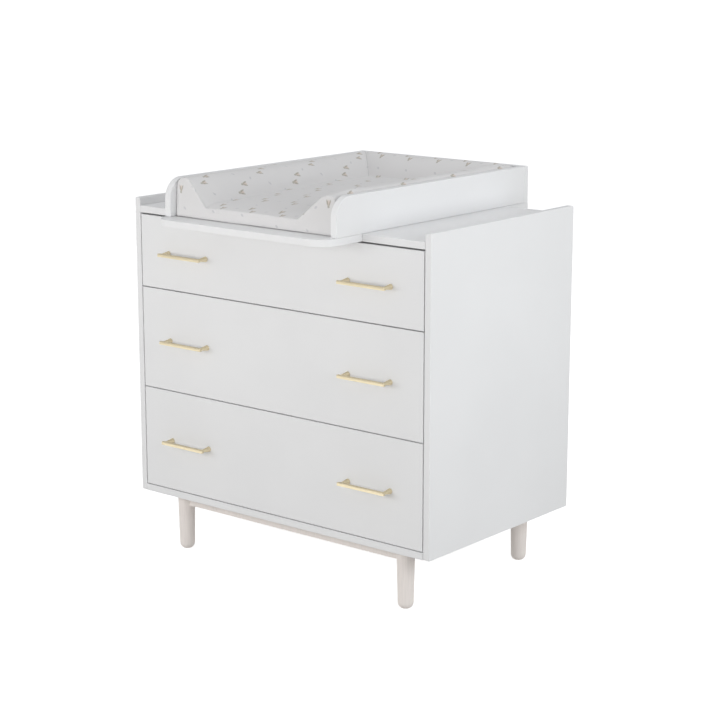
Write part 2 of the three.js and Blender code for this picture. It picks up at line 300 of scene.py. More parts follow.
@made_once
def brushed_lacquer(settings):
    """Warmer lacquer brushed on turned wood, with the grain just showing along its length."""
    finish = Finish("brushed_lacquer", ior=1.48, specular_ior_level=0.4)
    base = settings.leg
    grain = finish.cloud(260, 4, (1, 1, 0.06))
    tone = finish.tones(grain.ramp(0.35, 0.72), base, 1.01, 0.955)
    finish.set(base_color=tone, roughness=grain * 0.12 + 0.40)
    finish.set(normal=finish.bump(grain + finish.cloud(500, 2) * 0.4, 2 * settings.peel))
    return finish.material


@made_once
def linen_foil(settings):
    """Pressed foil of the drawer boxes and the back panel, with a fine linen emboss."""
    finish = Finish("linen_foil", ior=1.46, specular_ior_level=0.35)
    base = settings.foil
    x, y, z = finish.node("SeparateXYZ", None, {0: finish.place()}, output=("X", "Y", "Z"))
    turn = 5200  # radians to the metre, so a thread every 1.2 mm
    threads = (x * turn).wave() + (y * turn).wave() + (z * turn).wave()
    slub = finish.cloud(700, 2, (1, 0.12, 1)) + finish.cloud(700, 2, (0.12, 1, 1))
    tone = finish.tones(finish.cloud(5, 3), base, 0.975, 1.02)
    finish.set(base_color=finish.mix((slub - 0.9) * 0.12, tone, shade(base, 0.8)))
    finish.set(roughness=finish.cloud(45, 2) * 0.1 + 0.5)
    finish.set(normal=finish.bump(threads * 0.2 + slub * 0.5, 0.02 * MM))
    return finish.material


@made_once
def gold_plate(settings):
    """Pale gold plate, brushed along the bar, a little darker where fingers rub it."""
    finish = Finish("gold_plate", metallic=1.0)
    base = settings.gold
    hairs = finish.cloud(2600, 3, (0.012, 1, 1))
    streaks = finish.cloud(700, 2, (0.03, 1, 1))
    lines = hairs * 0.65 + streaks * 0.35
    tone = finish.tones(lines.ramp(0.3, 0.7), base, 0.9, 1.08)
    rubbed = finish.cloud(60, 2).ramp(0.55, 0.8)
    finish.set(base_color=finish.mix(rubbed * 0.15, tone, shade(base, 0.82)))
    finish.set(roughness=lines * 0.2 + 0.34)
    finish.set(normal=finish.bump(lines, 0.03 * MM))
    return finish.material


@made_once
def zinc_plate():
    """Zinc-plated sheet and screws, with faint spangle and rolling lines."""
    finish = Finish("zinc_plate", metallic=1.0)
    spangle = finish.node("TexVoronoi", None, {"Vector": finish.place(), "Scale": 240}, output="Color")
    spangle = finish.node("SeparateColor", None, {0: spangle}, output="Red")
    rolled = finish.cloud(1500, 2, (1, 0.02, 1))
    tone = finish.mix(spangle * 0.5 + rolled * 0.5, (0.50, 0.51, 0.53), (0.66, 0.67, 0.69))
    finish.set(base_color=tone, roughness=spangle * 0.14 + rolled * 0.1 + 0.24)
    finish.set(normal=finish.bump(rolled, 0.02 * MM))
    return finish.material


@made_once
def cap_plastic(settings):
    """Moulded caps, a shade warmer than the lacquer, with a fine spark-eroded grain."""
    finish = Finish("cap_plastic", ior=1.5)
    base = shade(settings.body, 0.96)
    grain = finish.cloud(1400, 2)
    finish.set(base_color=finish.tones(grain, base, 0.98, 1.02))
    finish.set(roughness=grain * 0.1 + 0.38, normal=finish.bump(grain, 0.02 * MM))
    return finish.material


def blot(x, y, middle, half, turn=0, edge=(0.4, 1.4)):
    """1 inside an ellipse turned by an angle, fading to 0 across its edge. Sizes in millimetres."""
    c, s = math.cos(turn), math.sin(turn)
    dx, dy = x - middle[0] * MM, y - middle[1] * MM
    along, across = (dx * c + dy * s) / (half[0] * MM), (dy * c - dx * s) / (half[1] * MM)
    return 1 - (along * along + across * across).ramp(*edge)


def tile(u, v, row, repeat):
    """Splits the cloth into cells: place in the cell from its middle, and 1 in every other cell."""
    i, j = (u / row).floor(), (v / repeat).floor()
    return u - (i + 0.5) * row, v - (j + 0.5) * repeat, (i + j) % 2


@made_once
def leaf_cotton(settings):
    """Plain-woven cotton with a small leaf print in watercolour tones."""
    finish = Finish("leaf_cotton", sheen_weight=0.12, sheen_roughness=0.5, specular_ior_level=0.2)
    cloth = finish.node("UVMap", {"uv_map": "cloth"})
    u, v = finish.node("SeparateXYZ", None, {0: cloth}, output=("X", "Y"))
    row, repeat = settings.row, settings.repeat
    start_u, start_v, small_start_v = 3 * MM, 77 * MM, 83 * MM

    # Sprigs: two leaves over a bud, in pairs set corner to corner in every other cell.
    ragged = 3 * MM
    pu = u + (finish.cloud(160, 2, vector=cloth) - 0.5) * ragged
    pv = v + (finish.cloud(170, 2) - 0.5) * ragged
    x, y, other = tile(pu - start_u, pv + start_v, row, repeat)
    side = x.sign()
    mark_x, mark_y = x - side * 10 * MM, y + side * 11 * MM
    here = 1 - other
    leaf = blot(abs(mark_x), mark_y, (3.6, 3), (2.3, 8.5), math.radians(-17)) * here
    bud = blot(mark_x, mark_y, (0, -6.5), (3.4, 3.6)) * here
    tint = blot(mark_x, mark_y, (0, 3), (5, 8), edge=(0.3, 1.2)) * here

    # Small leaves: one in each cell between the sprigs, and one at every other corner.
    tilt = math.radians(35)
    small = blot(x, y, (0, 0), (5.5, 3), tilt) * other
    qx, qy, odd = tile(u - start_u + row / 2, v + small_start_v + repeat / 2, row, repeat)
    scattered = blot(qx, qy, (0, 0), (5.2, 2.9), -tilt) * odd

    cotton = settings.cotton
    wash = finish.cloud(420, 3).ramp(0.25, 0.75) * 0.45 + 0.55
    base = finish.tones(finish.cloud(9, 2), cotton, 0.985, 1.01)
    base = finish.mix(tint * 0.65, base, settings.bud)
    base = finish.mix((small + scattered) * wash * 0.8, base, settings.dash)
    base = finish.mix(leaf.largest(bud) * wash * 0.85, base, settings.leaf)

    # Shadow in the mitre seams of the two rear corners, which stop at the floor.
    across, along = finish.node("SeparateXYZ", None, {0: finish.place()}, output=("X", "Y"))
    mat_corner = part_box("changing_mat")[1]
    inward = mat_corner.x + WedgeMat.side_spare - abs(across)
    back = mat_corner.y + WedgeMat.rear_spare - along
    seam = 1 - abs(inward - back).ramp(0.4 * MM, 1.6 * MM)
    seam = seam * (1 - inward.ramp(settings.foot - 2 * MM, settings.foot))
    finish.set(base_color=finish.mix(seam * 0.4, base, shade(cotton, 0.45)))

    thread = 2 * math.pi / (0.5 * MM)
    slub = finish.cloud(1200, 2, vector=cloth)
    weave = (u * thread).wave() * (v * thread).wave() * 0.25 + slub * 0.5
    finish.set(roughness=slub * 0.1 + 0.84, normal=finish.bump(weave, 0.05 * MM))
    return finish.material


@made_once
def sewing_thread(settings):
    """Twisted sewing thread, a little whiter than the cover."""
    finish = Finish("sewing_thread", sheen_weight=0.2, specular_ior_level=0.25)
    twist = finish.cloud(2600, 1, (1, 0.3, 1))
    base = shade(settings.cotton, 1.03)
    finish.set(base_color=finish.mix(twist, shade(base, 0.9), base))
    finish.set(roughness=twist * 0.1 + 0.7, normal=finish.bump(twist, 0.05 * MM))
    return finish.material


# --- mesh tools


def add_object(name, data):
    """Adds an object to the scene."""
    made = bpy.data.objects.new(name, data)
    bpy.context.scene.collection.objects.link(made)
    return made


def coat(mesh, material):
    """Gives a mesh one material, in place of any that it has."""
    mesh.materials.clear()
    mesh.materials.append(material)


def make_piece(name, mesh, material, body, replaced=()):
    """Adds a mesh as one named piece that rides on a body and may stand for CAD nodes."""
    piece = add_object(name, mesh)
    coat(mesh, material)
    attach(piece, body)
    if replaced:
        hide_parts(*replaced)
    return piece


def mesh_from(shape, name, smooth_angle=35):
    """Turns a bmesh into a mesh, smooth except over edges sharper than the angle."""
    bmesh.ops.recalc_face_normals(shape, faces=shape.faces)
    mesh = bpy.data.meshes.new(name)
    limit = math.radians(smooth_angle)
    for face in shape.faces:
        face.smooth = True
    for edge in shape.edges:
        edge.smooth = len(edge.link_faces) == 2 and edge.calc_face_angle(0) < limit
    shape.to_mesh(mesh)
    shape.free()
    return mesh


def add_circle(shape, radius, height, sides):
    """A level ring of vertices about the origin, or a single point where the radius is 0."""
    if radius == 0:
        sides = 1
    angles = (2 * math.pi * k / sides for k in range(sides))
    return [shape.verts.new((radius * math.cos(a), radius * math.sin(a), height)) for a in angles]


def join_rings(shape, rings):
    """Skins a row of rings, side by side."""
    for low, high in zip(rings, rings[1:]):
        for k in range(max(len(low), len(high))):
            after = k + 1
            corners = [low[k % len(low)], low[after % len(low)], high[after % len(high)], high[k % len(high)]]
            shape.faces.new(list(dict.fromkeys(corners)))


def close_ends(shape, rings):
    """Closes the first and the last ring, unless they are points."""
    for ring in (rings[0], rings[-1]):
        if len(ring) > 1:
            shape.faces.new(ring)


def turn_profile(shape, profile, middle, axis="Z", sides=64):
    """Adds a closed turned body: profile is (radius, height) from one end to the other on the axis."""
    stand = {"Z": Matrix.Identity(3), "Y": Matrix.Rotation(math.radians(90), 3, "X")}[axis]
    rings = [add_circle(shape, radius, height, sides) for radius, height in profile]
    for ring in rings:
        for vertex in ring:
            vertex.co = Vector(middle) + stand @ vertex.co
    join_rings(shape, rings)
    close_ends(shape, rings)


def add_block(shape, low, high, edge):
    """Adds a box with rounded edges."""
    made = bmesh.ops.create_cube(shape, size=1)
    size = Vector(high) - Vector(low)
    bmesh.ops.scale(shape, vec=size, verts=made["verts"])
    bmesh.ops.translate(shape, vec=(Vector(low) + Vector(high)) / 2, verts=made["verts"])
    edges = list({e for v in made["verts"] for e in v.link_edges})
    bmesh.ops.bevel(shape, geom=edges, offset=edge, segments=3, profile=0.5, affect="EDGES")


def joined(name, first, second):
    """The union of two closed bodies, as one closed mesh."""
    objects = [add_object(name, part) for part in (first, second)]
    union = objects[0].modifiers.new("union", "BOOLEAN")
    union.operation, union.solver, union.object = "UNION", "EXACT", objects[1]
    bpy.context.view_layer.update()
    graph = bpy.context.evaluated_depsgraph_get()
    result = bpy.data.meshes.new_from_object(objects[0].evaluated_get(graph))
    for made in objects:
        bpy.data.objects.remove(made)
    return result


def finish_nodes(names, material):
    """Gives CAD nodes, which keep their shape, a better material."""
    for name in names:
        coat(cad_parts[name].data, material)


def spread(stops, step):
    """Numbers from the first stop to the last, through every stop, about a step apart."""
    values = [stops[0]]
    for a, b in zip(stops, stops[1:]):
        count = max(1, round((b - a) / step))
        values += [a + (b - a) * k / count for k in range(1, count + 1)]
    return values


def smooth_step(value, low, high):
    t = min(1, max(0, (value - low) / (high - low)))
    return t * t * (3 - 2 * t)


# --- carcass, drawers, tray


class CHANGINGTABLE_OT_boards(bpy.types.Operator):
    """Lacquers the carcass, the drawer fronts and the tray's boards, and foils the drawer boxes"""

    bl_idname = "changing_table.boards"
    bl_label = "Boards"

    def execute(self, context):
        settings = context.scene.changing_table_lacquer
        carcass = ["side_panel_left", "side_panel_right", "top_board", "bottom_board"]
        fronts = [f"{drawer}_front" for drawer in DRAWERS]
        tray = [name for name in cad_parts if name.startswith("changer_")]
        finish_nodes(carcass + fronts + tray, sprayed_lacquer(settings))
        parts = ("side_left", "side_right", "back", "bottom")
        boxes = [f"{drawer}_{part}" for drawer in DRAWERS for part in parts]
        finish_nodes(boxes + ["back_panel"], linen_foil(settings))
        rails = [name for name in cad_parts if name.startswith("rail_")]
        finish_nodes(rails, brushed_lacquer(settings))
        return {"FINISHED"}


class CHANGINGTABLE_OT_runners(bpy.types.Operator):
    """Plates the drawer runners and the leg bolts"""

    bl_idname = "changing_table.runners"
    bl_label = "Runners and bolts"

    def execute(self, context):
        names = [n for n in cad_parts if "_runner_" in n or n.startswith("leg_bolt_")]
        finish_nodes(names, zinc_plate())
        return {"FINISHED"}


class CHANGINGTABLE_OT_caps(bpy.types.Operator):
    """Puts cover caps over the screws that hold the tray's back board to its sides"""

    bl_idname = "changing_table.caps"
    bl_label = "Cover caps"

    def execute(self, context):
        settings = context.scene.changing_table_lacquer
        low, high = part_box("changer_back")
        shape = bmesh.new()
        radius, rise = 6 * MM, 1.1 * MM
        inset, above_foot, below_top = 9 * MM, 22 * MM, 24 * MM
        profile = [(0, -0.6 * MM), (radius * 0.6, -0.6 * MM), (radius, -0.1 * MM), (radius, -0.01 * MM)]
        profile += [(radius * math.cos(a), rise * math.sin(a)) for a in (0.25, 0.55, 0.9, 1.25)] + [(0, rise)]
        outward = [(r, -h) for r, h in profile]
        for x in (low.x + inset, high.x - inset):
            for z in (low.z + above_foot, high.z - below_top):
                turn_profile(shape, outward, (x, high.y, z), axis="Y", sides=32)
        mesh = mesh_from(shape, "changer_back_caps")
        make_piece("changer_back_caps", mesh, cap_plastic(settings), "changer")
        return {"FINISHED"}


# --- legs


class CHANGINGTABLE_OT_legs(bpy.types.Operator):
    """Turns the four tapered legs with their rounded ends"""

    bl_idname = "changing_table.legs"
    bl_label = "Legs"

    def execute(self, context):
        sizes = context.scene.changing_table_leg
        material = brushed_lacquer(context.scene.changing_table_lacquer)
        for name in LEGS:
            low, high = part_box(name)
            middle = ((low.x + high.x) / 2, (low.y + high.y) / 2, low.z)
            top, foot, pad = sizes.top / 2, sizes.foot / 2, sizes.pad / 2
            height = high.z - low.z
            profile = [(0, 0), (pad * 0.55, 0), (pad * 0.85, 0.05 * MM)]
            steps = 14
            for k in range(steps + 1):
                angle = math.pi / 2 * k / steps
                radius = pad + (foot - pad) * math.sin(angle)
                profile.append((radius, sizes.end * (1 - math.cos(angle)) + 0.15 * MM))
            for t in (0.1, 0.35, 0.65, 0.9):
                profile.append((foot + (top - foot) * t, sizes.end + (height - sizes.end) * t))
            edge = 0.8 * MM
            profile += [(top - 0.05 * MM, height - edge), (top - edge * 0.4, height - edge * 0.3)]
            profile += [(top - edge, height), (0, height)]
            shape = bmesh.new()
            turn_profile(shape, profile, middle, sides=72)
            mesh = mesh_from(shape, f"{name}_turned", 50)
            make_piece(f"{name}_turned", mesh, material, "cabinet", [name])
        return {"FINISHED"}


# --- handles


class CHANGINGTABLE_OT_handles(bpy.types.Operator):
    """Makes the six bar handles on flared posts, and the screw heads behind them"""

    bl_idname = "changing_table.handles"
    bl_label = "Handles"

    def execute(self, context):
        sizes = context.scene.changing_table_handle
        material = gold_plate(sizes)
        for drawer in DRAWERS:
            front_low, front_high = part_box(f"{drawer}_front")
            screws = bmesh.new()
            for side in SIDES:
                name = f"{drawer}_handle_{side}"
                low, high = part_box(name)
                x, z = (low.x + high.x) / 2, (low.z + high.z) / 2
                half = sizes.bar / 2
                bar = bmesh.new()
                add_block(bar, (low.x, low.y, z - half), (high.x, low.y + sizes.bar, z + half), sizes.edge)
                bar_mesh = mesh_from(bar, name)
                posts = bmesh.new()
                reach = high.y - low.y - sizes.bar * 0.7
                for post in (-sizes.spacing / 2, sizes.spacing / 2):
                    turn_profile(posts, self.post(sizes, reach), (x + post, high.y, z), axis="Y", sides=40)
                    self.screw(screws, sizes.screw / 2, (x + post, front_high.y, z))
                mesh = joined(name, bar_mesh, mesh_from(posts, name))
                make_piece(f"{name}_bar", mesh, material, drawer, [name])
            mesh = mesh_from(screws, f"{drawer}_handle_screws")
            make_piece(f"{drawer}_handle_screws", mesh, zinc_plate(), drawer)
        return {"FINISHED"}

    @staticmethod
    def post(sizes, reach):
        """Radius and height of a post, from the drawer front out to the bar."""
        neck, base = sizes.neck / 2, sizes.base / 2
        rim = 0.6 * MM
        profile = [(0, 0), (base - 0.2 * MM, 0), (base, 0.2 * MM), (base, rim)]
        for k in range(1, 13):
            t = k / 12
            profile.append((base + (neck - base) * (1.25 * t - 0.25 * t * t), rim + (reach * 0.8 - rim) * t))
        return profile + [(neck, reach), (0, reach)]

    @staticmethod
    def screw(shape, radius, middle):
        """A pan head, a third as high as it is wide, with a cross recess."""
        rise = radius * 0.62
        arc = [(radius * math.cos(a), -rise * math.sin(a)) for a in (0, 0.35, 0.75, 1.1)]
        profile = [(0, -0.05 * MM), (radius, -0.05 * MM)] + arc[1:]
        profile += [(radius * 0.38, -rise), (radius * 0.24, -rise * 0.35), (0, -rise * 0.3)]
        turn_profile(shape, profile, middle, axis="Y", sides=24)


# --- mat


class WedgeMat:
    """The mat's cover: a floor between two side bolsters and a rear one, open to the front."""

    side_spare = 3.4 * MM  # past the CAD mat, out to the tray's side boards
    rear_spare = 2 * MM
    front_reach = 90 * MM  # from the front seam to a bolster's full section
    lean = 0.08  # how far the front face leans back for its height
    splay = 18 * MM  # extra width of the right-hand bolster at the front
    crest_round = 7 * MM
    crown = 2 * MM  # rise of the floor in its middle
    crown_half = 150 * MM
    corner_dip = 8 * MM  # how far the crest sinks at the rear corners
    corner_near, corner_far = 15 * MM, 60 * MM
    front_corner, rear_corner = 6 * MM, 30 * MM  # rounding in plan
    hem = 0.8 * MM  # how far the underside's edge is turned in
    side_slip, rear_slip = 19 * MM, 35 * MM  # how the bolsters' cloth is cut against the floor's
    wall_steps = 12
    mitre_start = 14 * MM  # the outer end of a mitre seam

    def __init__(self, sizes):
        self.sizes = sizes
        self.low, self.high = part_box("changing_mat")
        self.half = self.high.x + self.side_spare
        self.front, self.rear = self.low.y, self.high.y + self.rear_spare
        self.height = self.high.z - self.low.z

    def frontal(self, y):
        """1 at the front seam, fading to 0 where the bolsters reach their full section."""
        return 1 - smooth_step(y, self.front, self.front + self.front_reach)

    def levels(self, x, y):
        """Heights of the crest and of the floor, which both sink towards the front seam."""
        settle, slump = (2.5 * MM, 9 * MM) if x > 0 else (4 * MM, 4.5 * MM)
        corner = math.hypot(self.half - abs(x), self.rear - y)
        dip = self.corner_dip * (1 - smooth_step(corner, self.corner_near, self.corner_far))
        crest = self.height - settle - slump * self.frontal(y) - dip
        steep = smooth_step(y, self.front, self.front + 40 * MM)
        slow = smooth_step(y, self.front, 100 * MM)
        low = self.sizes.front_floor
        return crest, low + (self.sizes.floor - low) * (0.45 * steep + 0.55 * slow)

    def foot(self, x, y):
        """Outer face to the foot of a side bolster; the right-hand one spreads at the front."""
        return self.sizes.foot + (self.splay * self.frontal(y) if x > 0 else 0)

    def profile(self, inward, crest, floor, foot, bulge):
        """Height of a bolster at a distance inward from its outer face."""
        sizes = self.sizes
        if inward < sizes.outer_round:
            drop = sizes.outer_round - inward
            crest = crest - sizes.outer_round + math.sqrt(max(0, sizes.outer_round**2 - drop**2))
        t = (inward - sizes.crest) / (foot - sizes.crest)
        straight = crest + (floor - crest) * t + bulge * math.sin(math.pi * min(1, max(0, t)))
        return (crest + straight) / 2 - math.hypot(crest - straight, self.crest_round) / 2

    def top(self, x, y):
        """Height of the cover's top over a place in plan, with the fold lines left crisp."""
        crest, floor = self.levels(x, y)
        bulge = self.sizes.bulge
        side_bulge = bulge * (1 - self.frontal(y))
        side = self.profile(self.half - abs(x), crest, floor, self.foot(x, y), side_bulge)
        back = self.profile(self.rear - y, crest, floor, self.sizes.foot, bulge)
        return max(side, back, floor + self.crown * max(0, 1 - (x / self.crown_half) ** 2))

    def cloth_place(self, x, y, panel_x, panel_y):
        """Where a place in plan lies on the flat cloth, for the panel that holds another place."""
        foot_x, foot_y = self.half - self.sizes.foot, self.rear - self.sizes.foot
        past_x, past_y = abs(panel_x) - foot_x, panel_y - foot_y
        if past_x > 0 and past_x >= past_y:
            across = foot_x + self.unfolded(abs(x) - foot_x) - self.side_slip
            return math.copysign(across, panel_x), y - self.rear_slip
        if past_y > 0:
            return x, foot_y + self.unfolded(y - foot_y)
        return x, y

    def unfolded(self, past):
        """Length of cloth from a bolster's foot to a distance past it in plan."""
        slope = self.sizes.foot - self.sizes.crest
        grow = math.hypot(self.height - self.sizes.floor, slope) / slope
        return min(past, slope) * grow + max(0, past - slope)

    def build(self):
        """The cover as a grid for its top and one for its underside, joined by walls."""
        sizes = self.sizes
        edge_stops = [0, 4 * MM, 9 * MM, sizes.outer_round, sizes.crest, sizes.foot]
        left = [-self.half + stop for stop in edge_stops]
        xs = spread(left + [-x for x in reversed(left)], sizes.cell)
        ys = spread([self.front] + [self.rear - stop for stop in reversed(edge_stops)], sizes.cell)
        shape = bmesh.new()
        uv = shape.loops.layers.uv.new("cloth")
        top, bottom = {}, {}
        for i, x in enumerate(xs):
            for j, y in enumerate(ys):
                px, py = self.round_corner(x, y)
                height = self.top(x, y)
                upright = smooth_step(y, self.front, self.front + 30 * MM)
                lean = self.lean * height * (1 - upright)
                top[i, j] = shape.verts.new((px, py + lean, self.low.z + height))
                bottom[i, j] = shape.verts.new((*self.tuck(px, py), self.low.z + self.lift(x, y)))
        for i in range(len(xs) - 1):
            for j in range(len(ys) - 1):
                middle = ((xs[i] + xs[i + 1]) / 2, (ys[j] + ys[j + 1]) / 2)
                corners = [(i, j), (i + 1, j), (i + 1, j + 1), (i, j + 1)]
                face = shape.faces.new([top[c] for c in corners])
                for loop, (a, b) in zip(face.loops, corners):
                    loop[uv].uv = self.cloth_place(xs[a], ys[b], *middle)
                face = shape.faces.new([bottom[c] for c in reversed(corners)])
                for loop in face.loops:
                    loop[uv].uv = (loop.vert.co.x, 0.2 + loop.vert.co.y)
        self.add_walls(shape, uv, xs, ys, top, bottom)
        bmesh.ops.recalc_face_normals(shape, faces=shape.faces)
        return shape

    def add_walls(self, shape, uv, xs, ys, top, bottom):
        """Joins the top to the underside all round, upright but for its rounded edges."""
        last_x, last_y = len(xs) - 1, len(ys) - 1
        ring = [(i, 0) for i in range(last_x + 1)] + [(last_x, j) for j in range(1, last_y + 1)]
        ring += [(i, last_y) for i in range(last_x - 1, -1, -1)]
        ring += [(0, j) for j in range(last_y - 1, 0, -1)]
        columns = []
        for i, j in ring:
            high, low = top[i, j].co.copy(), bottom[i, j].co.copy()
            straight = self.round_corner(xs[i], ys[j])
            column = [top[i, j]]
            for k in range(1, self.wall_steps):
                t = k / self.wall_steps
                point = high.lerp(low, t)
                outward = smooth_step(t, 0, 0.12) * (1 - smooth_step(t, 0.93, 1.0))
                point.x += (straight[0] - point.x) * outward
                if j != 0:
                    point.y += (straight[1] - point.y) * outward
                column.append(shape.verts.new(point))
            columns.append(column + [bottom[i, j]])
        for n, (a, b) in enumerate(zip(ring, ring[1:] + ring[:1])):
            near, far = columns[n], columns[(n + 1) % len(ring)]
            for k in range(self.wall_steps):
                face = shape.faces.new([near[k], near[k + 1], far[k + 1], far[k]])
                for loop in face.loops:
                    loop[uv].uv = self.wall_place(loop.vert.co, a[1] == 0 and b[1] == 0)

    def wall_place(self, co, frontal):
        """Where a place on a wall lies on the flat cloth; each front face has its own cut."""
        height = co.z - self.low.z
        if not frontal:
            return height, co.y
        across, up = (-11 * MM, -106 * MM) if co.x < 0 else (22 * MM, -190 * MM)
        return co.x + across, height + up

    def round_corner(self, x, y):
        """Moves a place in plan onto a rectangle with rounded corners, the rear ones larger."""
        radius = self.rear_corner if y > 0 else self.front_corner
        near_x = max(0, abs(x) - (self.half - radius))
        low, high = self.front + radius, self.rear - radius
        near_y = max(0, low - y, y - high)
        if near_x == 0 or near_y == 0:
            return x, y
        scale = max(near_x, near_y) / math.hypot(near_x, near_y)
        toward = low if y < low else high
        x = math.copysign(self.half - radius + near_x * scale, x)
        return x, toward + math.copysign(near_y * scale, y - toward)

    def tuck(self, x, y):
        """Pulls the underside's edge in a little, where the cover folds under."""
        share = self.hem / (self.rear - self.front)
        return x * (1 - self.hem / self.half), y + (self.front + self.rear - 2 * y) * share

    def lift(self, x, y):
        """How far the front of the underside stands off the tray, in shallow scallops."""
        near = 1 - smooth_step(y, self.front, self.front + 35 * MM)
        scallop = 0.5 + 0.5 * math.sin(x * 34 + 0.8) * math.sin(x * 13 + 2.0)
        return near * 0.9 * MM * scallop

    def seam_gap(self, x, y, z):
        """Distances to the front seam, the rear mitres and the foot folds, on the cover's top."""
        inward_x, inward_y = self.half - abs(x), self.rear - y
        height = z - self.low.z
        foot = self.sizes.foot
        far = 1.0
        if height < self.top(x, y) - 12 * MM:
            return far, far, far
        front = abs(y - self.front - self.lean * height)
        corner = self.mitre_start < min(inward_x, inward_y) and max(inward_x, inward_y) < foot
        mitre = abs(inward_x - inward_y) / math.sqrt(2) if corner else far
        side_fold = math.hypot(inward_x - self.foot(x, y), max(0, foot - inward_y))
        rear_fold = math.hypot(inward_y - foot, max(0, foot - inward_x))
        return front, mitre, min(side_fold, rear_fold)

    def seam_share(self, x, y, z):
        """1 on a sewn line, fading to 0 a few millimetres from it."""
        return 1 - smooth_step(min(self.seam_gap(x, y, z)), 1.5 * MM, 8 * MM)

    def room(self, place):
        """0 where the cover stands against the tray's boards and can't swell, 1 well away from them."""
        gap = min(self.half - abs(place.x), self.rear - place.y)
        return smooth_step(gap, 3 * MM, 32 * MM)


def swell(piece, mat, sizes):
    """Fills the cover by cloth simulation, held at its sewn lines, and keeps the result."""
    start = [v.co.copy() for v in piece.data.vertices]
    held = piece.vertex_groups.new(name="held")
    for vertex, co in zip(piece.data.vertices, start):
        flat = 1 - smooth_step(co.z - mat.low.z, 2 * MM, 16 * MM)
        weight = max(flat, mat.seam_share(*co))
        if weight > 0:
            held.add([vertex.index], weight, "REPLACE")
    cloth = piece.modifiers.new("fill", "CLOTH")
    cloth.settings.quality = 6
    cloth.settings.mass = 0.3
    cloth.settings.tension_stiffness = 14
    cloth.settings.compression_stiffness = 14
    cloth.settings.bending_stiffness = 0.4
    cloth.settings.vertex_group_mass = "held"
    cloth.settings.use_pressure = True
    cloth.settings.uniform_pressure_force = sizes.pressure
    cloth.settings.effector_weights.gravity = 0
    cloth.collision_settings.use_collision = False
    cloth.point_cache.frame_start, cloth.point_cache.frame_end = 1, sizes.frames
    for step in range(1, sizes.frames + 1):
        bpy.context.scene.frame_set(step)
    graph = bpy.context.evaluated_depsgraph_get()
    filled = piece.evaluated_get(graph).data
    moved = [v.co.copy() for v in filled.vertices]
    piece.modifiers.remove(cloth)
    piece.vertex_groups.remove(held)
    bpy.context.scene.frame_set(1)
    for vertex, a, b in zip(piece.data.vertices, start, moved):
        vertex.co = a + limited(b - a, mat, a, sizes.swell)


def limited(step, mat, place, most):
    """Caps how far a point of the cover may move, with less room beside the tray's boards."""
    least = 0.3 * MM
    cap = least + (most - least) * mat.room(place)
    if step.length > cap:
        step = step * (cap / step.length)
    return step


def crease(piece, mat):
    """Sinks the sewn lines, puckers the cotton beside them and adds the slow waves of loose cloth."""
    normals = [v.normal.copy() for v in piece.data.vertices]
    for vertex, normal in zip(piece.data.vertices, normals):
        co = vertex.co
        height = co.z - mat.low.z
        if height < 6 * MM:
            continue
        slow = noise.noise(co * 13) * 1.5 * MM
        slow += noise.noise(co * 34 + Vector((3, 1, 2))) * 0.6 * MM
        front, mitre, fold = mat.seam_gap(*co)
        near = 1 - smooth_step(min(front, mitre), 2 * MM, 16 * MM)
        pucker = noise.noise(Vector((co.x * 70, co.y * 70, height * 40))) * 1.3 * MM * near
        groove = 1.4 * MM * (1 - smooth_step(mitre, 0, 3 * MM))
        groove += 0.8 * MM * (1 - smooth_step(fold, 0, 5 * MM))
        welt = 0.8 * MM * (1 - smooth_step(abs(front - 2.5 * MM), 0, 3 * MM))
        fade = smooth_step(height, 6 * MM, 20 * MM)
        vertex.co = co + normal * (slow + pucker - groove + welt) * fade * (0.2 + 0.8 * mat.room(co))


def refine(piece):
    """Subdivides a piece's mesh once and keeps the result."""
    modifier = piece.modifiers.new("refine", "SUBSURF")
    modifier.levels = modifier.render_levels = 1
    graph = bpy.context.evaluated_depsgraph_get()
    mesh = bpy.data.meshes.new_from_object(
        piece.evaluated_get(graph), preserve_all_data_layers=True, depsgraph=graph
    )
    piece.modifiers.remove(modifier)
    coat(mesh, piece.data.materials[0])
    old, piece.data = piece.data, mesh
    bpy.data.meshes.remove(old)


def add_stitch(shape, a, b, up):
    """Adds one stitch from a to b, bedded at its ends."""
    radius, sides = 0.38 * MM, 6
    side = (b - a).cross(up).normalized()
    rings = []
    for t, size, rise in ((0, 0.3, -0.7), (0.2, 1, 0.2), (0.5, 1, 0.5), (0.8, 1, 0.2), (1, 0.3, -0.7)):
        ring = add_circle(shape, size * radius, 0, sides)
        middle = a.lerp(b, t) + up * rise * radius
        for vertex in ring:
            vertex.co = middle + side * vertex.co.x + up * vertex.co.y
        rings.append(ring)
    join_rings(shape, rings)
    close_ends(shape, rings)


def stitch_row(shape, skin, start, end):
    """Sews a row of stitches down on the skin, along a straight path given in plan."""
    pitch, share = 4.6 * MM, 0.7
    start, end, down = Vector((*start, 2)), Vector((*end, 2)), Vector((0, 0, -1))
    count = int((end - start).length / pitch)
    for k in range(count):
        a, normal, _, _ = skin.ray_cast(start.lerp(end, k / count), down)
        b, _, _, _ = skin.ray_cast(start.lerp(end, (k + share) / count), down)
        if a and b and (b - a).length < 2 * pitch:
            add_stitch(shape, a, b, normal)


